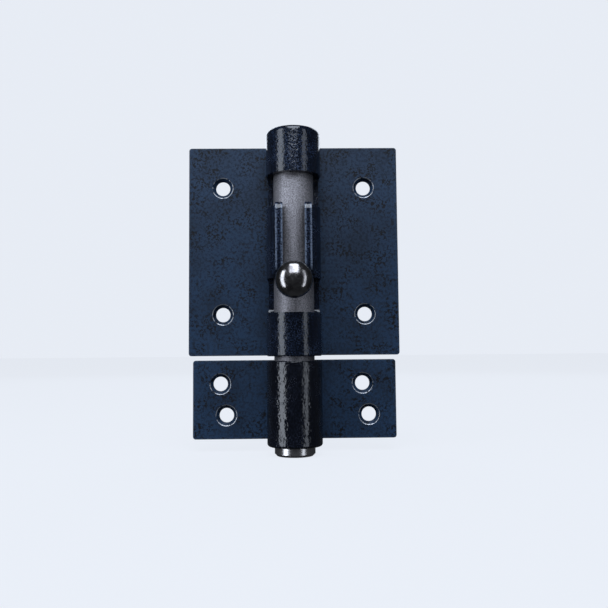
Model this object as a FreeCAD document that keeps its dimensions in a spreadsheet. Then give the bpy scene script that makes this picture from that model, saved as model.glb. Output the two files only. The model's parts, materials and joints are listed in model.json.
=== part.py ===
import FreeCAD, Part
import os
import Sketcher

# A padlock barrel bolt and its keeper, in millimetres.
# X runs right, Z runs up, and the barrel stands on the plates towards -Y.
# The origin is the centre of the body plate's back face. At rest the bolt is thrown
# into the keeper, below the body, and its handle points straight forward.

doc = FreeCAD.newDocument("padlock_barrel_bolt")
sizes = doc.addObject("Spreadsheet::Sheet", "sizes")

driving_sizes = {
    # plates
    "plate_thick": 2.0,
    "plate_corner": 1.0,
    "body_plate_width": 76.2,
    "body_plate_height": 76.2,
    "keeper_plate_width": 73.0,
    "keeper_plate_height": 28.1,
    "plate_gap": 1.6,
    # countersunk screw holes
    "screw_hole": 5.2,
    "countersink": 7.6,
    "countersink_angle": 90.0,
    "body_holes_across": 51.5,
    "body_holes_up": 46.5,
    "keeper_holes_across": 51.2,
    "keeper_holes_up": 11.2,
    "keeper_hole_stagger": 2.2,
    # tubes: both share one section
    "tube_radius": 9.55,
    "tube_wall": 2.25,
    "tube_above_plate": 2.9,
    "tube_below_plate": 0.2,
    "tube_top_round": 1.8,
    "tube_edge_round": 0.5,
    "keeper_tube_inset": 0.2,
    "keeper_tube_below_plate": 1.3,
    # cuts in the barrel: the slot's ends are heights above the middle of the body plate
    "slot_top": 13.3,
    "slot_bottom": -11.5,
    "upper_window_height": 11.5,
    "lower_window_height": 12.0,
    "window_corner": 1.8,
    # padlock ears
    "ear_thick": 2.4,
    "ear_height": 12.3,
    "ear_below_slot_top": 1.6,
    "ear_corner": 2.8,
    "padlock_hole": 7.5,
    "padlock_hole_above_tube": 6.6,
    # weld beads
    "tube_weld_start": 2.6,
    "tube_weld_height": 3.1,
    "tube_weld_spread": 0.9,
    "ear_weld_foot": 1.5,
    "ear_weld_height": 1.5,
    "ear_weld_sink": 0.2,
    "ear_weld_inset": 1.0,
    # bolt rod
    "rod_running_gap": 0.3,
    "rod_past_keeper": 3.2,
    "rod_below_barrel_top": 2.0,
    "rod_chamfer": 0.8,
    # handle, measured from the rod's axis
    "pin_radius": 2.9,
    "pin_to_slot_end": 0.4,
    "pin_slot_gap": 0.65,
    "pin_window_gap": 0.5,
    "pin_seat_depth": 4.2,
    "spigot_radius": 1.9,
    "spigot_into_knob": 3.2,
    "collar_start": 28.2,
    "collar_thick": 1.7,
    "collar_radius": 3.9,
    "knob_radius": 5.75,
    "knob_thick": 5.7,
    "knob_dome": 4.6,
    "knob_lip": 0.9,
    # friction ring in its groove
    "ring_above_tip": 9.8,
    "ring_width": 2.0,
    "ring_thick": 1.1,
    "ring_tube_gap": 0.05,
    "ring_side_gap": 0.1,
    "ring_split": 1.6,
}

for row, (alias, number) in enumerate(driving_sizes.items(), start=1):
    sizes.set(f"A{row}", alias)
    sizes.set(f"B{row}", str(number))
    sizes.setAlias(f"B{row}", alias)
doc.recompute()

# Places that several sub-parts share, as formulas on the sheet.
plate_front = "sizes.plate_thick"
axis_height = "(sizes.plate_thick + sizes.tube_radius)"
tube_bore = "(sizes.tube_radius - sizes.tube_wall)"
barrel_top = "(sizes.body_plate_height / 2 + sizes.tube_above_plate)"
barrel_bottom = "(-sizes.body_plate_height / 2 - sizes.tube_below_plate)"
keeper_top = "(-sizes.body_plate_height / 2 - sizes.plate_gap)"
keeper_bottom = f"({keeper_top} - sizes.keeper_plate_height)"
keeper_tube_top = f"({keeper_top} - sizes.keeper_tube_inset)"
keeper_tube_bottom = f"({keeper_bottom} - sizes.keeper_tube_below_plate)"
upper_window_top = "(sizes.slot_top + sizes.upper_window_height)"
lower_window_bottom = "(sizes.slot_bottom - sizes.lower_window_height)"
handle_height = "(sizes.slot_bottom - sizes.pin_to_slot_end - sizes.pin_radius)"
half_slot = "(sizes.pin_radius + sizes.pin_slot_gap)"
window_depth = "(sizes.pin_radius + sizes.pin_window_gap)"
ear_inner = half_slot
ear_outer = f"({ear_inner} + sizes.ear_thick)"
ear_front = "(sizes.tube_radius + sizes.ear_height)"
ear_end = "(sizes.slot_top - sizes.ear_below_slot_top)"
rod_radius = f"({tube_bore} - sizes.rod_running_gap)"
rod_bottom = f"({keeper_tube_bottom} - sizes.rod_past_keeper)"
rod_top = f"({barrel_top} - sizes.rod_below_barrel_top)"
ring_outer = f"({tube_bore} - sizes.ring_tube_gap)"
ring_inner = f"({ring_outer} - sizes.ring_thick)"
groove_radius = f"({ring_inner} - sizes.ring_side_gap)"
ring_bottom = f"({rod_bottom} + sizes.ring_above_tip - sizes.ring_width / 2)"
knob_start = "(sizes.collar_start + sizes.collar_thick)"


def new_body(label):
    body = doc.addObject("PartDesign::Body", label)
    body.Label = label
    return body


def new_barrel_body(label):
    """A body drawn about the barrel's axis and moved out to it."""
    body = new_body(label)
    body.setExpression("Placement.Base.y", f"-{axis_height}")
    return body


def new_sketch(body, name, plane, lift=None):
    sketch = body.newObject("Sketcher::SketchObject", name)
    role = next(item for item in body.Origin.OriginFeatures if item.Role == plane)
    sketch.AttachmentSupport = (role, [""])
    sketch.MapMode = "FlatFace"
    if lift:
        sketch.setExpression("AttachmentOffset.Base.z", lift)
    return sketch


def hold(sketch, kind, places, formula):
    """Adds one dimension and binds it to the sheet."""
    number = sketch.evalExpression(formula)
    index = sketch.addConstraint(Sketcher.Constraint(kind, *places, number))
    sketch.setExpression(f"Constraints[{index}]", formula)


def draw_circle(sketch, across, up, radius):
    centre = [sketch.evalExpression(formula) for formula in (across, up)]
    circle = Part.Circle(FreeCAD.Vector(*centre, 0), FreeCAD.Vector(0, 0, 1), sketch.evalExpression(radius))
    index = sketch.addGeometry(circle)
    hold(sketch, "DistanceX", (-1, 1, index, 3), across)
    hold(sketch, "DistanceY", (-1, 1, index, 3), up)
    hold(sketch, "Radius", (index,), radius)


def draw_outline(sketch, corners):
    """A closed outline through corners, each a pair of formulas."""
    points = [FreeCAD.Vector(sketch.evalExpression(x), sketch.evalExpression(y), 0) for x, y in corners]
    count = len(points)
    lines = [sketch.addGeometry(Part.LineSegment(points[i], points[(i + 1) % count])) for i in range(count)]
    for i, line in enumerate(lines):
        sketch.addConstraint(Sketcher.Constraint("Coincident", line, 2, lines[(i + 1) % count], 1))
        hold(sketch, "DistanceX", (-1, 1, line, 1), corners[i][0])
        hold(sketch, "DistanceY", (-1, 1, line, 1), corners[i][1])


def draw_rectangle(sketch, left, low, right, high):
    draw_outline(sketch, [(left, low), (right, low), (right, high), (left, high)])


def add_pad(body, sketch, length):
    pad = body.newObject("PartDesign::Pad", f"{body.Label}_pad")
    pad.Profile = sketch
    pad.setExpression("Length", length)
    doc.recompute()
    return pad


def add_cut(body, sketch, length=None, both_ways=False, flip=False):
    """A pocket of the given length, or through everything, that must remove material."""
    before = body.Shape.Volume
    pocket = body.newObject("PartDesign::Pocket", f"{sketch.Name}_cut")
    pocket.Profile = sketch
    pocket.Reversed = flip
    if both_ways:
        pocket.SideType = "Symmetric"
    if length:
        pocket.setExpression("Length", length)
    else:
        pocket.Type = "ThroughAll"
    doc.recompute()
    if not body.Shape.Volume < before:
        raise RuntimeError(f"{pocket.Name} removes nothing")
    return pocket


def round_edges(body, feature, radius, wanted):
    """Fillets the edges of feature for which wanted is true."""
    fillet = body.newObject("PartDesign::Fillet", f"{feature.Name}_round")
    fillet.Base = (feature, edge_names(feature, wanted))
    fillet.setExpression("Radius", radius)
    doc.recompute()
    return fillet


def edge_names(feature, wanted):
    names = [f"Edge{i}" for i, edge in enumerate(feature.Shape.Edges, start=1) if wanted(edge)]
    if not names:
        raise RuntimeError(f"{feature.Name} has no such edges")
    return names


def is_circle_at(edge, height, radius):
    """True for a whole circle about the Z axis."""
    curve = edge.Curve
    if not isinstance(curve, Part.Circle) or not edge.isClosed():
        return False
    return abs(curve.Center.z - height) < 1e-6 and abs(curve.Radius - radius) < 1e-6


def is_line_along(edge, axis):
    if not isinstance(edge.Curve, Part.Line):
        return False
    return abs(abs(edge.Curve.Direction.dot(axis)) - 1) < 1e-9


def drill_holes(body, places):
    """Countersunk screw holes from the plate's front face."""
    sketch = new_sketch(body, f"{body.Label}_holes", "XZ_Plane", plate_front)
    for across, up in places:
        draw_circle(sketch, across, up, "sizes.screw_hole / 2")
    doc.recompute()
    hole = body.newObject("PartDesign::Hole", f"{body.Label}_screw_holes")
    hole.Profile = sketch
    hole.DepthType = "ThroughAll"
    hole.setExpression("Diameter", "sizes.screw_hole")
    hole.HoleCutType = "Countersink"
    hole.HoleCutCustomValues = True
    hole.setExpression("HoleCutDiameter", "sizes.countersink")
    hole.setExpression("HoleCutCountersinkAngle", "sizes.countersink_angle")
    doc.recompute()


def make_plate(label, width, bottom, top, places):
    body = new_body(label)
    sketch = new_sketch(body, f"{label}_outline", "XZ_Plane")
    draw_rectangle(sketch, f"-{width} / 2", bottom, f"{width} / 2", top)
    pad = add_pad(body, sketch, plate_front)
    across_plate = FreeCAD.Vector(0, 1, 0)
    round_edges(body, pad, "sizes.plate_corner", lambda edge: is_line_along(edge, across_plate))
    drill_holes(body, places)
    return body


def make_body_plate():
    across = "sizes.body_holes_across / 2"
    up = "sizes.body_holes_up / 2"
    places = [(side + across, level + up) for side in ("-", "") for level in ("-", "")]
    half_height = "sizes.body_plate_height / 2"
    return make_plate("body_plate", "sizes.body_plate_width", f"-{half_height}", half_height, places)


def make_keeper_plate():
    """The two rows of holes are moved sideways, one to each side."""
    middle = f"({keeper_top} + {keeper_bottom}) / 2"
    across = "sizes.keeper_holes_across / 2"
    places = []
    for row, shift in (("+", "-"), ("-", "+")):
        up = f"{middle} {row} sizes.keeper_holes_up / 2"
        places += [(f"{side}{across} {shift} sizes.keeper_hole_stagger / 2", up) for side in ("-", "")]
    return make_plate("keeper_plate", "sizes.keeper_plate_width", keeper_bottom, keeper_top, places)


def make_tube(label, bottom, top):
    body = new_barrel_body(label)
    sketch = new_sketch(body, f"{label}_section", "XY_Plane", bottom)
    draw_circle(sketch, "0", "0", "sizes.tube_radius")
    draw_circle(sketch, "0", "0", tube_bore)
    pad = add_pad(body, sketch, f"{top} - {bottom}")
    return body, pad


def round_tube_end(body, feature, end, radius):
    height = sizes.evalExpression(end)
    outer = sizes.evalExpression("sizes.tube_radius")
    return round_edges(body, feature, radius, lambda edge: is_circle_at(edge, height, outer))


def cut_window(body, label, bottom, top):
    """Opens the tube's front past its axis, so that the handle can swing to either side."""
    sketch = new_sketch(body, f"{label}_profile", "YZ_Plane")
    outside = "sizes.tube_radius + sizes.ear_height"
    draw_rectangle(sketch, f"-({outside})", bottom, window_depth, top)
    cut = add_cut(body, sketch, both_ways=True)
    depth = sizes.evalExpression(window_depth)
    levels = [sizes.evalExpression(formula) for formula in (bottom, top)]

    def is_back_corner(edge):
        point = edge.CenterOfMass
        near_level = min(abs(point.z - level) for level in levels) < 1e-6
        return is_line_along(edge, FreeCAD.Vector(1, 0, 0)) and abs(point.y - depth) < 1e-6 and near_level

    round_edges(body, cut, "sizes.window_corner", is_back_corner)


def make_barrel_tube():
    body, pad = make_tube("barrel_tube", barrel_bottom, barrel_top)
    rounded = round_tube_end(body, pad, barrel_top, "sizes.tube_top_round")
    round_tube_end(body, rounded, barrel_bottom, "sizes.tube_edge_round")
    cut_window(body, "upper_window", "sizes.slot_top", upper_window_top)
    cut_window(body, "lower_window", lower_window_bottom, "sizes.slot_bottom")
    sketch = new_sketch(body, "slot_profile", "XZ_Plane")
    draw_rectangle(sketch, f"-{half_slot}", "sizes.slot_bottom", half_slot, "sizes.slot_top")
    add_cut(body, sketch, "sizes.tube_radius", flip=True)
    return body


def make_keeper_tube():
    body, pad = make_tube("keeper_tube", keeper_tube_bottom, keeper_tube_top)
    rounded = round_tube_end(body, pad, keeper_tube_bottom, "sizes.tube_edge_round * 2")
    round_tube_end(body, rounded, keeper_tube_top, "sizes.tube_edge_round")
    return body


def seat_on_tube(body):
    """Hollows the foot of a piece to the tube's round outside."""
    sketch = new_sketch(body, f"{body.Label}_seat", "XY_Plane")
    draw_circle(sketch, "0", "0", "sizes.tube_radius")
    add_cut(body, sketch, both_ways=True)


def make_ear(label, side):
    """One upright plate beside the slot. side is -1 on the left and 1 on the right."""
    body = new_barrel_body(label)
    inner = ear_inner if side > 0 else f"-{ear_outer}"
    sketch = new_sketch(body, f"{label}_profile", "YZ_Plane", inner)
    draw_rectangle(sketch, f"-{ear_front}", "sizes.slot_bottom", f"-{tube_bore}", ear_end)
    pad = add_pad(body, sketch, "sizes.ear_thick")
    front = -sizes.evalExpression(ear_front)

    def is_front_corner(edge):
        return is_line_along(edge, FreeCAD.Vector(1, 0, 0)) and abs(edge.CenterOfMass.y - front) < 1e-6

    round_edges(body, pad, "sizes.ear_corner", is_front_corner)
    hole_out = "-(sizes.tube_radius + sizes.padlock_hole_above_tube)"
    middle = f"({ear_end} + sizes.slot_bottom) / 2"
    hole = new_sketch(body, f"{label}_padlock_hole", "YZ_Plane")
    draw_circle(hole, hole_out, middle, "sizes.padlock_hole / 2")
    add_cut(body, hole, both_ways=True)
    seat_on_tube(body)
    return body


def make_weld(label, corners, bottom, top):
    """A bead of constant section along the tube, given by its corners seen from above."""
    body = new_barrel_body(label)
    sketch = new_sketch(body, f"{label}_section", "XY_Plane", bottom)
    draw_outline(sketch, corners)
    add_pad(body, sketch, f"{top} - ({bottom})")
    seat_on_tube(body)
    return body


def make_tube_weld(label, side, bottom, top):
    """Fills the corner between the tube and its plate."""
    sign = "-" if side < 0 else ""
    foot = "sizes.tube_radius"
    crest = "(sizes.tube_radius - sizes.tube_weld_height)"
    crest_out = f"sqrt(sizes.tube_radius ^ 2 - {crest} ^ 2)"
    corners = [
        (f"{sign}sizes.tube_weld_start", foot),
        (f"{sign}({crest_out} + sizes.tube_weld_spread)", foot),
        (f"{sign}{crest_out}", crest),
        (f"{sign}sizes.tube_weld_start", crest),
    ]
    return make_weld(label, corners, bottom, top)


def make_ear_weld(label, side):
    """Fills the corner between an ear's outer face and the tube."""
    sign = "-" if side < 0 else ""
    foot_out = f"({ear_outer} + sizes.ear_weld_foot)"
    root = f"-sqrt(sizes.tube_radius ^ 2 - {ear_outer} ^ 2)"
    foot = f"(-sqrt(sizes.tube_radius ^ 2 - {foot_out} ^ 2) + sizes.ear_weld_sink)"
    corners = [
        (f"{sign}{ear_outer}", f"{root} - sizes.ear_weld_height"),
        (f"{sign}{foot_out}", foot),
        (f"{sign}{ear_outer}", foot),
    ]
    bottom = "sizes.slot_bottom + sizes.ear_weld_inset"
    top = f"{ear_end} - sizes.ear_weld_inset"
    return make_weld(label, corners, bottom, top)


def make_bolt_rod():
    body = new_barrel_body("bolt_rod")
    sketch = new_sketch(body, "rod_section", "XY_Plane", rod_bottom)
    draw_circle(sketch, "0", "0", rod_radius)
    pad = add_pad(body, sketch, f"{rod_top} - {rod_bottom}")
    ends = [sizes.evalExpression(formula) for formula in (rod_bottom, rod_top)]
    radius = sizes.evalExpression(rod_radius)
    chamfer = body.newObject("PartDesign::Chamfer", "rod_chamfer")
    chamfer.Base = (pad, edge_names(pad, lambda edge: any(is_circle_at(edge, end, radius) for end in ends)))
    chamfer.setExpression("Size", "sizes.rod_chamfer")
    doc.recompute()
    cut_ring_groove(body)
    socket = new_sketch(body, "handle_socket", "XZ_Plane", f"{rod_radius} - sizes.pin_seat_depth")
    draw_circle(socket, "0", handle_height, "sizes.pin_radius")
    add_cut(body, socket, rod_radius, flip=True)
    return body


def cut_ring_groove(body):
    """The groove is as wide as the ring, with its side gap at each side."""
    before = body.Shape.Volume
    sketch = new_sketch(body, "groove_section", "XZ_Plane")
    low = f"{ring_bottom} - sizes.ring_side_gap"
    high = f"{ring_bottom} + sizes.ring_width + sizes.ring_side_gap"
    draw_rectangle(sketch, groove_radius, low, "sizes.tube_radius", high)
    groove = body.newObject("PartDesign::Groove", "ring_groove")
    groove.Profile = sketch
    groove.ReferenceAxis = (sketch, ["V_Axis"])
    groove.Angle = 360
    doc.recompute()
    if not body.Shape.Volume < before:
        raise RuntimeError("the ring groove removes nothing")


def make_friction_ring():
    """A ring split at the back, so that it springs into its groove."""
    body = new_barrel_body("friction_ring")
    sketch = new_sketch(body, "ring_section", "XY_Plane", ring_bottom)
    draw_circle(sketch, "0", "0", ring_outer)
    draw_circle(sketch, "0", "0", ring_inner)
    add_pad(body, sketch, "sizes.ring_width")
    split = new_sketch(body, "ring_split", "XY_Plane")
    draw_rectangle(split, "-sizes.ring_split / 2", "0", "sizes.ring_split / 2", "sizes.tube_radius")
    add_cut(body, split, both_ways=True)
    return body


def add_disc(body, name, radius, start, length):
    """A disc about the handle's axis, from start to start + length out from the rod's axis."""
    sketch = new_sketch(body, name, "XZ_Plane", start)
    draw_circle(sketch, "0", handle_height, radius)
    return add_pad(body, sketch, length)


def drill_for_spigot(body):
    sketch = new_sketch(body, f"{body.Label}_bore", "XZ_Plane", "sizes.collar_start")
    draw_circle(sketch, "0", handle_height, "sizes.spigot_radius")
    add_cut(body, sketch, "sizes.collar_thick + sizes.spigot_into_knob", flip=True)


def make_handle_pin():
    body = new_barrel_body("handle_pin")
    seat = f"({rod_radius} - sizes.pin_seat_depth)"
    add_disc(body, "pin_shaft", "sizes.pin_radius", seat, f"sizes.collar_start - {seat}")
    spigot_length = "sizes.collar_thick + sizes.spigot_into_knob"
    add_disc(body, "pin_spigot", "sizes.spigot_radius", "sizes.collar_start", spigot_length)
    return body


def make_handle_collar():
    body = new_barrel_body("handle_collar")
    disc = add_disc(body, "collar_disc", "sizes.collar_radius", "sizes.collar_start", "sizes.collar_thick")
    round_edges(body, disc, "sizes.collar_thick / 4", lambda edge: edge.isClosed() and edge.Length > 1)
    drill_for_spigot(body)
    return body


def make_handle_knob():
    """A mushroom: a large round over the outer end and a small one under it."""
    body = new_barrel_body("handle_knob")
    disc = add_disc(body, "knob_disc", "sizes.knob_radius", knob_start, "sizes.knob_thick")
    start = -sizes.evalExpression(knob_start)

    def is_outer(edge):
        return isinstance(edge.Curve, Part.Circle) and edge.Curve.Center.y < start - 1e-6

    def is_inner(edge):
        return isinstance(edge.Curve, Part.Circle) and abs(edge.Curve.Center.y - start) < 1e-6

    dome = round_edges(body, disc, "sizes.knob_dome", is_outer)
    round_edges(body, dome, "sizes.knob_lip", is_inner)
    drill_for_spigot(body)
    return body


def make_all():
    bodies = [make_body_plate(), make_barrel_tube(), make_keeper_plate(), make_keeper_tube()]
    half_height = "sizes.body_plate_height / 2"
    for side, name in ((-1, "left"), (1, "right")):
        bodies.append(make_tube_weld(f"barrel_weld_{name}", side, f"-{half_height}", half_height))
        bodies.append(make_tube_weld(f"keeper_weld_{name}", side, keeper_bottom, keeper_tube_top))
        bodies.append(make_ear(f"padlock_ear_{name}", side))
        bodies.append(make_ear_weld(f"ear_weld_{name}", side))
    bodies += [make_bolt_rod(), make_friction_ring()]
    bodies += [make_handle_pin(), make_handle_collar(), make_handle_knob()]
    return bodies


def check(bodies):
    for item in doc.Objects:
        if {"Invalid", "Error"} & set(item.State):
            raise RuntimeError(f"{item.Name} is {item.State}")
    for body in bodies:
        if body.Shape.isNull() or not body.Shape.isValid() or not body.Shape.Solids:
            raise RuntimeError(f"{body.Label} has no valid solid")


bodies = make_all()
doc.recompute()
check(bodies)
os.makedirs("parts", exist_ok=True)
for body in bodies:
    body.Shape.exportStep(f"parts/{body.Label}.step")
    print(body.Label, len(body.Shape.Solids), round(body.Shape.Volume, 1))
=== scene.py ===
import json
import math
import bmesh
import bpy
import numpy as np
from mathutils import Matrix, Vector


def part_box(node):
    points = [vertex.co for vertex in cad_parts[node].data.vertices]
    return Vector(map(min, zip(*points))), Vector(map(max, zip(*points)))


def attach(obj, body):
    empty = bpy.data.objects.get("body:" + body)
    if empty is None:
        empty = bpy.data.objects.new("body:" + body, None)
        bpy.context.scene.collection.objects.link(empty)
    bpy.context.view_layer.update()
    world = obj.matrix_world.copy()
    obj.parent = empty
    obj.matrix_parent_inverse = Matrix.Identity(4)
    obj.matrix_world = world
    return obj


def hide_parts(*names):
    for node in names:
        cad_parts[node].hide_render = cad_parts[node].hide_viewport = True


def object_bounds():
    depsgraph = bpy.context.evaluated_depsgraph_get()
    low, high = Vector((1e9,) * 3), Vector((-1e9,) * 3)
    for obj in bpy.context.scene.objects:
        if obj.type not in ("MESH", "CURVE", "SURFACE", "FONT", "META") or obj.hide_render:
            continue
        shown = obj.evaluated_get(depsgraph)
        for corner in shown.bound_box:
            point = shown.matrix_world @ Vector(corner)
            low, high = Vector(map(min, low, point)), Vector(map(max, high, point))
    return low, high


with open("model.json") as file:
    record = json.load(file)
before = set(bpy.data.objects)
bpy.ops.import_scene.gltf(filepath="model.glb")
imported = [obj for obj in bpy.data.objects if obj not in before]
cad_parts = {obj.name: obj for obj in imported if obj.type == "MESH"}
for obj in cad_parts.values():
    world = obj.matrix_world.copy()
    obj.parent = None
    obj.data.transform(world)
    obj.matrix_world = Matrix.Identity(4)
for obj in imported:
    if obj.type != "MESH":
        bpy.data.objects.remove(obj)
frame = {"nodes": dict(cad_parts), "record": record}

cadLow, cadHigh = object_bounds()
mm = 0.001
record = frame["record"]
mounts = {mount["name"]: mount for mount in record["mounts"]}
slots = {part["node"]: part["material_slot"] for part in record["subparts"]}
bodyOf = {node: body for body, nodes in record["behaviour"]["bodies"].items() for node in nodes}
print("frame loaded:", len(frame["nodes"]), "parts")

# The camera stands a little below the middle of the bolt and looks slightly up.
cameraSettings = {
    "place": (-0.45 * mm, -252.66 * mm, -37.32 * mm),
    "yaw": -0.93,  # degrees to the left of +Y
    "pitch": 4.06,  # degrees above level
    "roll": -0.5,  # degrees about the line of sight
    "lens": 41.0,
}


def standAt(name, data, right, top, back, place):
    # links an object whose own X, Y and Z point along right, top and back
    thing = bpy.data.objects.new(name, data)
    bpy.context.scene.collection.objects.link(thing)
    turn = np.eye(4)
    turn[:3, 0], turn[:3, 1], turn[:3, 2], turn[:3, 3] = right, top, back, place
    thing.matrix_world = Matrix(turn.tolist())
    return thing


def addCamera(settings):
    data = bpy.data.cameras.new("camera")
    data.lens = settings["lens"]
    data.sensor_width = 36.0
    data.clip_start = 0.01
    data.clip_end = 20.0
    yaw, pitch, roll = (math.radians(settings[key]) for key in ("yaw", "pitch", "roll"))
    forward = np.array([-math.sin(yaw) * math.cos(pitch), math.cos(yaw) * math.cos(pitch), math.sin(pitch)])
    level = np.array([math.cos(yaw), math.sin(yaw), 0.0])
    upward = np.cross(level, forward)
    right = math.cos(roll) * level + math.sin(roll) * upward
    top = math.cos(roll) * upward - math.sin(roll) * level
    bpy.context.scene.camera = standAt("camera", data, right, top, -forward, settings["place"])


addCamera(cameraSettings)
print("camera ready")


class Signal:
    # an output socket of a material's node, whose operators add Math nodes

    def __init__(self, paint, socket):
        self.paint = paint
        self.socket = socket

    def math(self, operation, first, second=0.0):
        return self.paint.node("ShaderNodeMath", {"operation": operation}, {0: first, 1: second})

    def __add__(self, other):
        return self.math("ADD", self, other)

    def __radd__(self, other):
        return self.math("ADD", other, self)

    def __sub__(self, other):
        return self.math("SUBTRACT", self, other)

    def __rsub__(self, other):
        return self.math("SUBTRACT", other, self)

    def __mul__(self, other):
        return self.math("MULTIPLY", self, other)

    def __rmul__(self, other):
        return self.math("MULTIPLY", other, self)

    def __abs__(self):
        return self.math("ABSOLUTE", self)

    def __pow__(self, other):
        return self.math("POWER", self, other)

    def most(self, other):
        return self.math("MAXIMUM", self, other)

    def rise(self, low, high):
        # 0 below low, 1 above high and smooth between
        values = {"Value": self, "From Min": low, "From Max": high}
        return self.paint.node("ShaderNodeMapRange", {"interpolation_type": "SMOOTHSTEP"}, values)

    def near(self, middle, width):
        # 1 at middle and 0 from width away
        return 1 - abs(self - middle).rise(0.25 * width, width)


class Paint:
    # a material, or the world, and the nodes that make it

    def __init__(self, name, home=bpy.data.materials):
        self.block = home.new(name)
        self.block.use_nodes = True
        self.tree = self.block.node_tree
        self.tree.nodes.clear()

    def node(self, kind, settings, values, output=0):
        # settings come first, then the values or links of the sockets
        made = self.tree.nodes.new(kind)
        for key, value in settings.items():
            setattr(made, key, value)
        for key, value in values.items():
            if isinstance(value, Signal):
                self.tree.links.new(value.socket, made.inputs[key])
            else:
                made.inputs[key].default_value = value
        return Signal(self, made.outputs[output]) if made.outputs else None

    def place(self, scale=(1.0, 1.0, 1.0), shift=(0.0, 0.0, 0.0)):
        # Object coordinates in metres, stretched and then shifted
        point = self.node("ShaderNodeTexCoord", {}, {}, "Object")
        return self.node("ShaderNodeMapping", {}, {"Vector": point, "Scale": scale, "Location": shift})

    def noise(self, point, size, detail=2.0, roughness=0.5):
        # blotches about size metres across
        values = {"Vector": point, "Scale": 1 / size, "Detail": detail, "Roughness": roughness}
        return self.node("ShaderNodeTexNoise", {}, values)

    def along(self, point, axis):
        return self.node("ShaderNodeSeparateXYZ", {}, {"Vector": point}, axis)

    def blend(self, factor, first, second):
        colours = [(*colour, 1.0) if isinstance(colour, tuple) else colour for colour in (first, second)]
        values = {0: factor, 6: colours[0], 7: colours[1]}
        return self.node("ShaderNodeMix", {"data_type": "RGBA"}, values, 2)

    def bump(self, height, strength, depth):
        return self.node("ShaderNodeBump", {}, {"Height": height, "Strength": strength, "Distance": depth})

    def finish(self, values):
        shader = self.node("ShaderNodeBsdfPrincipled", {}, values)
        self.node("ShaderNodeOutputMaterial", {}, {"Surface": shader})
        return self.block


powderCoat = {
    "colour": (0.0125, 0.031, 0.066),
    "speck": (0.0002, 0.0006, 0.002),
    "edgeStrip": (0.060, 0.078, 0.105),  # where handling has polished the coat
    "bare": (0.42, 0.43, 0.45),  # bare steel at the rims of the countersinks: wear, and a painted highlight along the rims
    "grain": 0.45 * mm,
    "speckSize": 1.05 * mm,
    "patchSize": 5 * mm,  # where the specks crowd together
    "cloudSize": 15 * mm,
    "chipSize": 1.6 * mm,
    "rubWidth": 0.55 * mm,  # how far in from its edges a plate is rubbed
    "roughness": 0.46,
    "shine": 0.22,
    "rimRadius": 3.72 * mm,
    "rimWidth": 0.20 * mm,
}


def ringMask(across, up, holes, look):
    # 1 on the rims of one row or square of holes. Folding X and Z about the pattern's middle puts
    # its holes on top of each other, so one distance from one point serves them all.
    half = holes["dims"].get("spacing_x_mm", 0.0) * mm / 2
    halfUp = holes["dims"].get("spacing_y_mm", 0.0) * mm / 2
    sideways = abs(across - holes["pos_m"][0]) - half
    level = up - holes["pos_m"][2]
    upward = abs(level) - halfUp if halfUp else level
    distance = (sideways ** 2.0 + upward ** 2.0) ** 0.5
    return distance.near(look["rimRadius"], look["rimWidth"])


def edgeMask(value, low, high, width):
    # 1 at both ends of the range from low to high, and 0 from width inside them
    half = (high - low) / 2
    return abs(value - (low + half)).rise(half - width, half - 0.1 * mm)


def makePowderCoat(node, holePatterns, look):
    # satin coat with a fine grain, dark specks in patches, rubbed edges, and bare steel rims at the holes
    # that are wear and a painted highlight
    paint = Paint("powderCoat_" + node)
    low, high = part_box(node)
    place = paint.place()
    across, up = paint.along(place, "X"), paint.along(place, "Z")
    grain = paint.noise(place, look["grain"], 2.0, 0.6)
    specks = paint.noise(place, look["speckSize"], 4.0, 0.72).rise(0.49, 0.54)
    clouds = paint.noise(place, look["cloudSize"], 2.0)
    patches = paint.noise(place, look["patchSize"], 3.0, 0.6).rise(0.42, 0.62)
    sides = edgeMask(across, low.x, high.x, look["rubWidth"])
    ends = edgeMask(up, low.z, high.z, look["rubWidth"])
    chips = paint.noise(place, look["chipSize"], 3.0, 0.7)
    edgeStrip = sides.most(ends) * chips.rise(0.35, 0.6)
    rims = [ringMask(across, up, mounts[name], look) for name in holePatterns]
    rim = rims[0] if len(rims) == 1 else rims[0].most(rims[1])
    front = 1 - paint.along(place, "Y").rise(low.y + 0.5 * mm, low.y + 0.8 * mm)
    # bare steel on the front of the countersink rims: wear, and a painted highlight along them
    bareRimAndHighlight = rim * front * chips.rise(0.38, 0.52)
    colour = paint.blend(specks * (0.40 + 0.60 * patches), look["colour"], look["speck"])
    colour = paint.blend(clouds.rise(0.35, 0.75) * 0.4, colour, look["speck"])
    colour = paint.blend(edgeStrip * 0.75, colour, look["edgeStrip"])
    texture = 0.14 * (grain - 0.5) + 0.12 * specks + 0.10 * (clouds - 0.5)
    return paint.finish({
        "Base Color": paint.blend(bareRimAndHighlight, colour, look["bare"]),
        "Metallic": bareRimAndHighlight,
        "Roughness": look["roughness"] + texture - 0.14 * edgeStrip,
        "Normal": paint.bump(grain * 0.6 - specks * 0.4, 0.45, 0.05 * mm),
        "Specular IOR Level": look["shine"],
    })


barrelCoat = {
    "colour": (0.0022, 0.0034, 0.0075),
    "haze": (0.016, 0.028, 0.060),
    "peel": 0.95 * mm,
    "peelDepth": 0.10 * mm,
    "roughness": 0.13,
    "shine": 0.46,
}
keeperCoat = {
    "colour": (0.0012, 0.0018, 0.0042),
    "haze": (0.007, 0.010, 0.020),
    "peel": 0.95 * mm,
    "peelDepth": 0.17 * mm,
    "roughness": 0.13,
    "shine": 0.6,
}
# pale corners on the ears' front edges: wear, and a painted highlight that stands in for the light on those
# rounded corners
earWearAndHighlight = {
    "colour": (0.10, 0.125, 0.175),
    "width": 0.35 * mm,
    "fade": 0.45 * mm,
    "polish": 0.05,  # how much smoother the pale corners are
}


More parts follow.
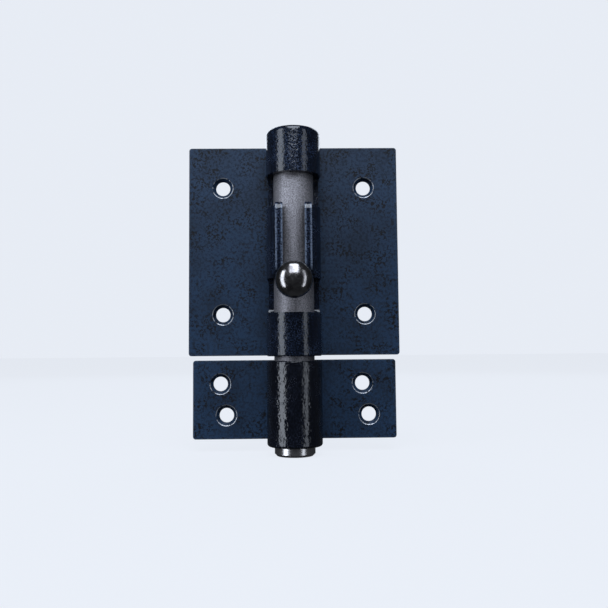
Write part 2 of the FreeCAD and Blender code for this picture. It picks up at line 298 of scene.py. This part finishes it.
def makeGlossCoat(name, look, ear=None):
    # black coat with orange peel: rounded lumps about a millimetre across, and a finer dust over them
    paint = Paint(name)
    place = paint.place()
    peel = paint.noise(place, look["peel"], 1.6, 0.5)
    dust = paint.noise(place, 0.45 * mm, 2.0, 0.6)
    clouds = paint.noise(place, 8 * mm, 2.0)
    haze = dust.rise(0.44, 0.62) * (0.35 + 0.65 * clouds.rise(0.35, 0.65))
    colour = paint.blend(haze, look["colour"], look["haze"])
    roughness = look["roughness"] + 0.16 * haze + 0.10 * (clouds - 0.5)
    if ear:
        # the ear's front corners are painted pale: wear, and a painted highlight
        edgeStrip = earWearAndHighlightMask(paint, place, ear) * dust.rise(0.36, 0.5)
        colour = paint.blend(edgeStrip, colour, earWearAndHighlight["colour"])
        roughness = roughness - earWearAndHighlight["polish"] * edgeStrip
    return paint.finish({
        "Base Color": colour,
        "Roughness": roughness,
        "Normal": paint.bump(0.92 * peel + 0.08 * dust, 1.0, look["peelDepth"]),
        "Specular IOR Level": look["shine"],
    })


def earWearAndHighlightMask(paint, place, ear):
    # 1 down both corners of the ear's front edge, which keys and padlocks wear, and where a highlight is
    # painted in a pale colour
    low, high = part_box(ear)
    half = (high.x - low.x) / 2
    fromCorner = half - abs(paint.along(place, "X") - (low.x + half))
    corner = 1 - fromCorner.rise(earWearAndHighlight["width"], earWearAndHighlight["width"] + earWearAndHighlight["fade"])
    front = 1 - paint.along(place, "Y").rise(low.y + 0.4 * mm, low.y + 1.2 * mm)
    return corner * front


gunmetal = {
    "colour": (0.38, 0.37, 0.395),
    "dark": (0.155, 0.145, 0.155),
    "glint": (0.62, 0.61, 0.62),
    "tipColour": (0.50, 0.48, 0.47),
    "roughness": 0.60,
    "polished": 3.3 * mm,  # how much of the tip is polished
}


def makeGunmetal(look):
    # satin plating with a metallic grain on the rod, polished at its tip
    paint = Paint("gunmetal")
    place = paint.place()
    grain = paint.noise(place, 0.42 * mm, 3.0, 0.75)
    drawn = paint.noise(paint.place((1.0, 1.0, 0.22)), 0.55 * mm, 2.0, 0.6)
    clouds = paint.noise(paint.place((1.0, 1.0, 0.4)), 5 * mm, 2.0)
    polishedEnd = cadLow.z + look["polished"]
    tip = 1 - paint.along(place, "Z").rise(polishedEnd, polishedEnd + 0.5 * mm)
    satin = paint.blend(grain.rise(0.36, 0.60), look["dark"], look["colour"])
    satin = paint.blend(grain.rise(0.60, 0.72) * 0.8, satin, look["glint"])
    satin = paint.blend(clouds.rise(0.4, 0.75) * 0.35, satin, look["dark"])
    rough = look["roughness"] + 0.16 * (drawn - 0.5) + 0.10 * (clouds - 0.5)
    return paint.finish({
        "Base Color": paint.blend(tip, satin, look["tipColour"]),
        "Metallic": 0.82 + 0.18 * tip,
        "Roughness": rough * (1 - tip) + tip * (0.24 + 0.08 * drawn),
        "Normal": paint.bump((0.6 * grain + 0.4 * drawn) * (1 - 0.9 * tip), 0.5, 0.06 * mm),
    })


blackNickel = {
    "colour": (0.31, 0.295, 0.29),
    "dark": (0.12, 0.113, 0.115),
    "roughness": 0.17,
}
satinNickel = {
    "colour": (0.15, 0.145, 0.15),
    "dark": (0.065, 0.06, 0.065),
    "roughness": 0.27,
}


def makeNickel(name, look):
    # dark plating, clouded here and there, with fine turning marks
    paint = Paint(name)
    place = paint.place()
    clouds = paint.noise(place, 2.2 * mm, 3.0)
    turned = paint.noise(paint.place((1.0, 5.0, 1.0)), 0.9 * mm, 2.0, 0.6)
    return paint.finish({
        "Base Color": paint.blend(clouds.rise(0.35, 0.7), look["colour"], look["dark"]),
        "Metallic": 1.0,
        "Roughness": look["roughness"] + 0.16 * (clouds - 0.5) + 0.08 * turned.rise(0.45, 0.7),
        "Normal": paint.bump(turned, 0.12, 0.03 * mm),
    })


springSteel = {"colour": (0.48, 0.47, 0.46), "dark": (0.30, 0.29, 0.28), "roughness": 0.32}


def makeSpringSteel(look):
    paint = Paint("springSteel")
    drawn = paint.noise(paint.place((1.0, 1.0, 6.0)), 0.8 * mm, 3.0, 0.6)
    return paint.finish({
        "Base Color": paint.blend(drawn, look["dark"], look["colour"]),
        "Metallic": 1.0,
        "Roughness": look["roughness"] + 0.2 * (drawn - 0.5),
        "Normal": paint.bump(drawn, 0.2, 0.02 * mm),
    })


slotFinish = {
    "gloss_coat": makeGlossCoat("barrelCoat", barrelCoat),
    "gunmetal": makeGunmetal(gunmetal),
    "black_nickel": makeNickel("blackNickel", blackNickel),
    "spring_steel": makeSpringSteel(springSteel),
}
keeperHoles = ["keeper_upper_screw_holes", "keeper_lower_screw_holes"]
nodeFinish = {
    "handle_pin": makeNickel("satinNickel", satinNickel),
    "keeper_tube": makeGlossCoat("keeperCoat", keeperCoat),
    "padlock_ear_left": makeGlossCoat("leftEarCoat", barrelCoat, "padlock_ear_left"),
    "padlock_ear_right": makeGlossCoat("rightEarCoat", barrelCoat, "padlock_ear_right"),
    "body_plate": makePowderCoat("body_plate", ["body_screw_holes"], powderCoat),
    "keeper_plate": makePowderCoat("keeper_plate", keeperHoles, powderCoat),
}
finishOf = {node: slotFinish.get(slot) for node, slot in slots.items()} | nodeFinish
for node, part in frame["nodes"].items():
    part.data.materials.clear()
    part.data.materials.append(finishOf[node])
print("materials ready")

# The CAD parts get the rounded edges that coated steel has: how far each edge is rounded.
softEdges = {
    "body_plate": 0.35 * mm,
    "keeper_plate": 0.35 * mm,
    "barrel_tube": 0.30 * mm,
    "keeper_tube": 0.28 * mm,
    "padlock_ear_left": 0.50 * mm,
    "padlock_ear_right": 0.50 * mm,
    "bolt_rod": 0.20 * mm,
}


def standIn(piece, node):
    # the piece takes a CAD part's place, body and finish
    piece.data.materials.append(finishOf[node])
    bpy.context.scene.collection.objects.link(piece)
    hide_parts(node)
    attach(piece, bodyOf[node])


def softenPart(node, width):
    # a merged copy of the part's mesh, flat faces made whole, with a Bevel on its corners
    work = bmesh.new()
    work.from_mesh(frame["nodes"][node].data)
    bmesh.ops.remove_doubles(work, verts=work.verts, dist=0.002 * mm)
    bmesh.ops.dissolve_limit(work, angle_limit=math.radians(0.4), verts=work.verts, edges=work.edges)
    work.verts.index_update()
    corners = [tuple(vertex.co) for vertex in work.verts]
    faces = [[vertex.index for vertex in face.verts] for face in work.faces]
    work.free()
    mesh = bpy.data.meshes.new(node + "_soft")
    mesh.from_pydata(corners, [], faces)
    mesh.polygons.foreach_set("use_smooth", np.ones(len(faces), dtype=bool))
    piece = bpy.data.objects.new(node + "_soft", mesh)
    bevel = piece.modifiers.new("edges", "BEVEL")
    bevel.width = width
    bevel.segments = 3
    bevel.limit_method = "ANGLE"
    bevel.angle_limit = math.radians(28)
    shading = piece.modifiers.new("shading", "WEIGHTED_NORMAL")
    shading.mode = "FACE_AREA"
    standIn(piece, node)


for node, width in softEdges.items():
    softenPart(node, width)
print("edges rounded on", len(softEdges), "parts")


def gridPiece(name, points, loopAcross, capEnds):
    # points is rows x columns x 3. Neighbouring rows and columns are joined by four-sided faces,
    # round and round if loopAcross, and each end row gets a face of its own if capEnds.
    rows, columns = points.shape[:2]
    index = np.arange(rows * columns).reshape(rows, columns)
    right = np.roll(index, -1, axis=1) if loopAcross else index[:, 1:]
    left = index if loopAcross else index[:, :-1]
    quads = np.stack([left[:-1], right[:-1], right[1:], left[1:]], axis=-1).reshape(-1, 4)
    faces = quads.tolist()
    if capEnds:
        faces += [index[0, ::-1].tolist(), index[-1].tolist()]
    mesh = bpy.data.meshes.new(name)
    mesh.from_pydata(points.reshape(-1, 3).tolist(), [], faces)
    smooth = np.ones(len(faces), dtype=bool)
    smooth[len(quads):] = False
    mesh.polygons.foreach_set("use_smooth", smooth)
    work = bmesh.new()
    work.from_mesh(mesh)
    bmesh.ops.remove_doubles(work, verts=work.verts, dist=0.0005 * mm)
    bmesh.ops.recalc_face_normals(work, faces=work.faces)
    work.to_mesh(mesh)
    work.free()
    return bpy.data.objects.new(name, mesh)


weldBead = {
    "bulge": 0.16,  # how far the bead swells, as a share of its width
    "pitch": 1.15 * mm,  # from one ripple to the next
    "ripple": 0.09 * mm,
    "bow": 0.75 * mm,  # how far each ripple's middle runs ahead of its sides
    "sway": 0.12 * mm,
    "pointsAcross": 15,
    "pointsBack": 9,
    "stepsPerRipple": 8,
}


def arcPoints(start, end, bulge, count):
    # from start to end, swelling to the side by a half sine
    along = np.linspace(0.0, 1.0, count)
    chord = end - start
    sideways = np.array([chord[1], -chord[0]])
    return start + along[:, None] * chord + np.sin(np.pi * along)[:, None] * bulge * sideways


def makeWeldBead(node, foot, crest, back, look, seed):
    # The face from foot to crest is carried along Z. Its height is the half sine plus a sine of Z,
    # whose phase lags at the sides, so that each ripple is a crescent. The ripples fade at the ends.
    low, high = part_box(node)
    bulge = look["bulge"] if np.cross(crest - foot, foot - back[0]) < 0 else -look["bulge"]
    face = arcPoints(foot, crest, bulge, look["pointsAcross"])
    loop = np.concatenate([face, back])
    steps = int((high.z - low.z) / look["pitch"] * look["stepsPerRipple"]) + 1
    height = np.linspace(low.z, high.z, steps)
    across = np.linspace(0.0, 1.0, look["pointsAcross"])
    chance = np.random.default_rng(seed)
    drift = np.cumsum(chance.normal(0.0, 0.05, steps))
    arch = np.sin(np.pi * across)
    phase = 2 * np.pi * (height[:, None] + look["bow"] * arch[None, :]) / look["pitch"] + drift[:, None]
    fade = np.minimum(1.0, np.minimum(height - low.z, high.z - height) / (0.8 * mm))
    wave = look["ripple"] * (0.5 + 0.5 * np.sin(phase)) ** 0.7 * arch * fade[:, None]
    sway = look["sway"] * np.sin(2 * np.pi * height / (9.0 * mm) + seed) * fade
    outward = face - loop.mean(axis=0)
    outward /= np.linalg.norm(outward, axis=1)[:, None]
    points = np.zeros((steps, len(loop), 3))
    points[:, :, :2] = loop
    lift = (wave + sway[:, None] * arch - 0.5 * look["ripple"] * arch)[:, :, None]
    points[:, :len(face), :2] += lift * outward
    points[:, :, 2] = height[:, None]
    standIn(gridPiece(node + "_bead", points, True, True), node)


def tubeArc(axis, radius, start, end, count):
    # points on the tube's outside between two angles from +X, seen from above
    angle = np.linspace(start, end, count)
    return axis + radius * np.stack([np.cos(angle), np.sin(angle)], axis=1)


tubeLow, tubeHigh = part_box("barrel_tube")
tubeRadius = (tubeHigh.x - tubeLow.x) / 2
tubeAxis = np.array([(tubeLow.x + tubeHigh.x) / 2, tubeHigh.y - tubeRadius])
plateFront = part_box("body_plate")[0].y
for seed, (node, side) in enumerate([("barrel_weld_left", -1), ("barrel_weld_right", 1),
                                     ("keeper_weld_left", -1), ("keeper_weld_right", 1)]):
    low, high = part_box(node)
    footX = high.x if side > 0 else low.x
    startX = low.x if side > 0 else high.x
    crestY = low.y
    crestX = side * math.sqrt(tubeRadius ** 2 - (crestY - tubeAxis[1]) ** 2)
    first = math.atan2(crestY - tubeAxis[1], crestX)
    last = math.atan2(math.sqrt(tubeRadius ** 2 - startX ** 2), startX)
    back = tubeArc(tubeAxis, tubeRadius, first, last, weldBead["pointsBack"])[1:]
    back = np.concatenate([back, [[startX, plateFront]]])
    makeWeldBead(node, np.array([footX, plateFront]), np.array([crestX, crestY]), back, weldBead, seed)
for seed, (node, side) in enumerate([("ear_weld_left", -1), ("ear_weld_right", 1)], start=4):
    low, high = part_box(node)
    footX = high.x if side > 0 else low.x
    earX = low.x if side > 0 else high.x
    first = math.atan2(-math.sqrt(tubeRadius ** 2 - earX ** 2), earX)
    last = math.atan2(-math.sqrt(tubeRadius ** 2 - footX ** 2), footX)
    back = tubeArc(tubeAxis, tubeRadius, first, last, weldBead["pointsBack"])[:-1]
    foot = np.array([footX, tubeAxis[1] - math.sqrt(tubeRadius ** 2 - footX ** 2)])
    makeWeldBead(node, foot, np.array([earX, low.y]), back, weldBead, seed)
print("weld beads laid")

handle = {
    "segments": 96,
    "lip": 0.55 * mm,  # the round under the knob
    "skirt": 0.9 * mm,  # the straight side between the lip and the dome
    "domePower": 2.25,
    "collarRound": 0.5,  # how round the two ridges of the collar are
    "groove": 0.55 * mm,  # how deep the groove between them is
    "shaftRound": 0.35 * mm,
    "shaftRows": 24,  # rows of points along the shaft
    "boreShare": 0.62,  # the bore in the knob and collar, as a share of the shaft
}
pinLow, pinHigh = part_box("handle_pin")
handleZ = (pinLow.z + pinHigh.z) / 2


def turnedPiece(node, reach, radius):
    # spins a profile about the handle's line: reach runs out along -Y, radius round it
    angle = np.linspace(0.0, 2 * np.pi, handle["segments"], endpoint=False)
    points = np.zeros((len(reach), len(angle), 3))
    points[:, :, 0] = radius[:, None] * np.cos(angle)
    points[:, :, 1] = -reach[:, None]
    points[:, :, 2] = handleZ + radius[:, None] * np.sin(angle)
    standIn(gridPiece(node + "_turned", points, True, False), node)


def quarter(count):
    return np.linspace(0.0, np.pi / 2, count)


def boreRadius(look):
    # of the knob and the collar: a little inside the spigot, so that no light shows between them
    return (pinHigh.x - pinLow.x) / 2 * look["boreShare"]


def makeKnob(look):
    # a lip that is a quarter round, a straight skirt, and a dome on a superellipse
    low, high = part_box("handle_knob")
    under, tip, wide = -high.y, -low.y, (high.x - low.x) / 2
    lip, skirtEnd = look["lip"], under + look["lip"] + look["skirt"]
    turn = quarter(10)
    bore = boreRadius(look)
    lipReach = under + lip * (1 - np.cos(turn))
    lipRadius = wide - lip * (1 - np.sin(turn))
    sweep = quarter(36)
    domeReach = skirtEnd + (tip - skirtEnd) * np.sin(sweep) ** (2 / look["domePower"])
    domeRadius = wide * np.cos(sweep) ** (2 / look["domePower"])
    reach = np.concatenate([[under + 3.0 * mm, under], lipReach, domeReach])
    radius = np.concatenate([[bore, bore], lipRadius, domeRadius])
    turnedPiece("handle_knob", reach, radius)


def makeCollar(look):
    # two rounded ridges side by side: the radius is a raised cosine along the collar
    low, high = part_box("handle_collar")
    near, far, wide = -high.y, -low.y, (high.x - low.x) / 2
    along = np.linspace(0.0, 1.0, 41)
    ridge = np.abs(np.sin(2 * np.pi * along)) ** look["collarRound"]
    reach = near + (far - near) * along
    radius = wide - look["groove"] * (1 - ridge)
    bore = boreRadius(look)
    reach = np.concatenate([[near], reach, [far]])
    radius = np.concatenate([[bore], radius, [bore]])
    turnedPiece("handle_collar", reach, radius)


def makeShaft(look):
    # a plain shaft whose outer edge is a quarter round, with the spigot beyond it
    near, far, wide = -pinHigh.y, -pinLow.y, (pinHigh.x - pinLow.x) / 2
    shoulder = -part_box("handle_collar")[1].y
    turn = quarter(8)
    edge, rows = look["shaftRound"], look["shaftRows"]
    inner = boreRadius(look)
    straight = np.linspace(near + 0.05 * mm, shoulder - edge, rows)
    roundReach = shoulder - edge + edge * np.sin(turn)[1:]
    roundRadius = wide - edge + edge * np.cos(turn)[1:]
    reach = np.concatenate([[near, near], straight, roundReach, [shoulder, far, far]])
    radius = np.concatenate([[0.0, wide], np.full(rows, wide), roundRadius, [inner, inner, 0.0]])
    turnedPiece("handle_pin", reach, radius)


makeKnob(handle)
makeCollar(handle)
makeShaft(handle)
print("handle turned")

studio = {
    "albedo": (0.05, 0.05, 0.05),
    "backdrop": (0.80, 0.84, 0.91),
    "dim": 0.05,
    "tint": (0.80, 0.88, 1.0),
    "lights": {
        "leftBox": {"angle": -54.0, "rise": 3.0, "size": (0.26, 0.80), "away": 0.60, "watts": 2.8},
        "rightBox": {"angle": 48.0, "rise": 3.0, "size": (0.16, 0.80), "away": 0.60, "watts": 0.85},
        "topBox": {"angle": 0.0, "rise": 53.0, "size": (0.50, 0.90), "away": 0.85, "watts": 9.6},
        "backLeftBox": {"angle": -160.0, "rise": 30.0, "size": (0.40, 0.50), "away": 0.90, "watts": 1.6},
        "backRightBox": {"angle": 154.0, "rise": 30.0, "size": (0.40, 0.50), "away": 0.90, "watts": 1.6},
    },
}


def addFloor(look):
    # a wide pale floor that glows as much as the backdrop, so that the two meet without a line
    half = 9.0
    level = cadLow.z - 0.1 * mm
    mesh = bpy.data.meshes.new("floor")
    corners = [(-half, -half, level), (half, -half, level), (half, half, level), (-half, half, level)]
    mesh.from_pydata(corners, [], [(0, 1, 2, 3)])
    paint = Paint("paleFloor")
    mesh.materials.append(paint.finish({
        "Base Color": (*look["albedo"], 1.0),
        "Roughness": 1.0,
        "Specular IOR Level": 0.0,
        "Emission Color": (*look["backdrop"], 1.0),
        "Emission Strength": 0.96,
    }))
    floor = bpy.data.objects.new("floor", mesh)
    bpy.context.scene.collection.objects.link(floor)
    floor.visible_glossy = False
    floor.visible_diffuse = False


def addSurroundings(look):
    # pale where the camera looks past the object, dim for what the metal reflects
    paint = Paint("surroundings", bpy.data.worlds)
    seen = paint.node("ShaderNodeBackground", {}, {"Color": (*look["backdrop"], 1.0)})
    dim = {"Color": (*look["tint"], 1.0), "Strength": look["dim"]}
    reflected = paint.node("ShaderNodeBackground", {}, dim)
    direct = paint.node("ShaderNodeLightPath", {}, {}, "Is Camera Ray")
    mixed = paint.node("ShaderNodeMixShader", {}, {0: direct, 1: reflected, 2: seen})
    paint.node("ShaderNodeOutputWorld", {}, {"Surface": mixed})
    bpy.context.scene.world = paint.block


def addLight(name, look):
    # a soft box at an angle round the object from the front, and a rise above level, facing the barrel
    data = bpy.data.lights.new(name, "AREA")
    data.shape = "RECTANGLE"
    data.size, data.size_y = look["size"]
    data.energy = look["watts"]
    data.color = studio["tint"]
    target = np.array([0.0, -11.0 * mm, -17.0 * mm])
    angle, rise = math.radians(look["angle"]), math.radians(look["rise"])
    back = np.array([math.sin(angle) * math.cos(rise), -math.cos(angle) * math.cos(rise), math.sin(rise)])
    side = np.array([math.cos(angle), math.sin(angle), 0.0])
    standAt(name, data, side, np.cross(back, side), back, target + look["away"] * back)


addFloor(studio)
addSurroundings(studio)
for name, look in studio["lights"].items():
    addLight(name, look)
bpy.context.scene.view_settings.view_transform = "Standard"
print("studio ready")
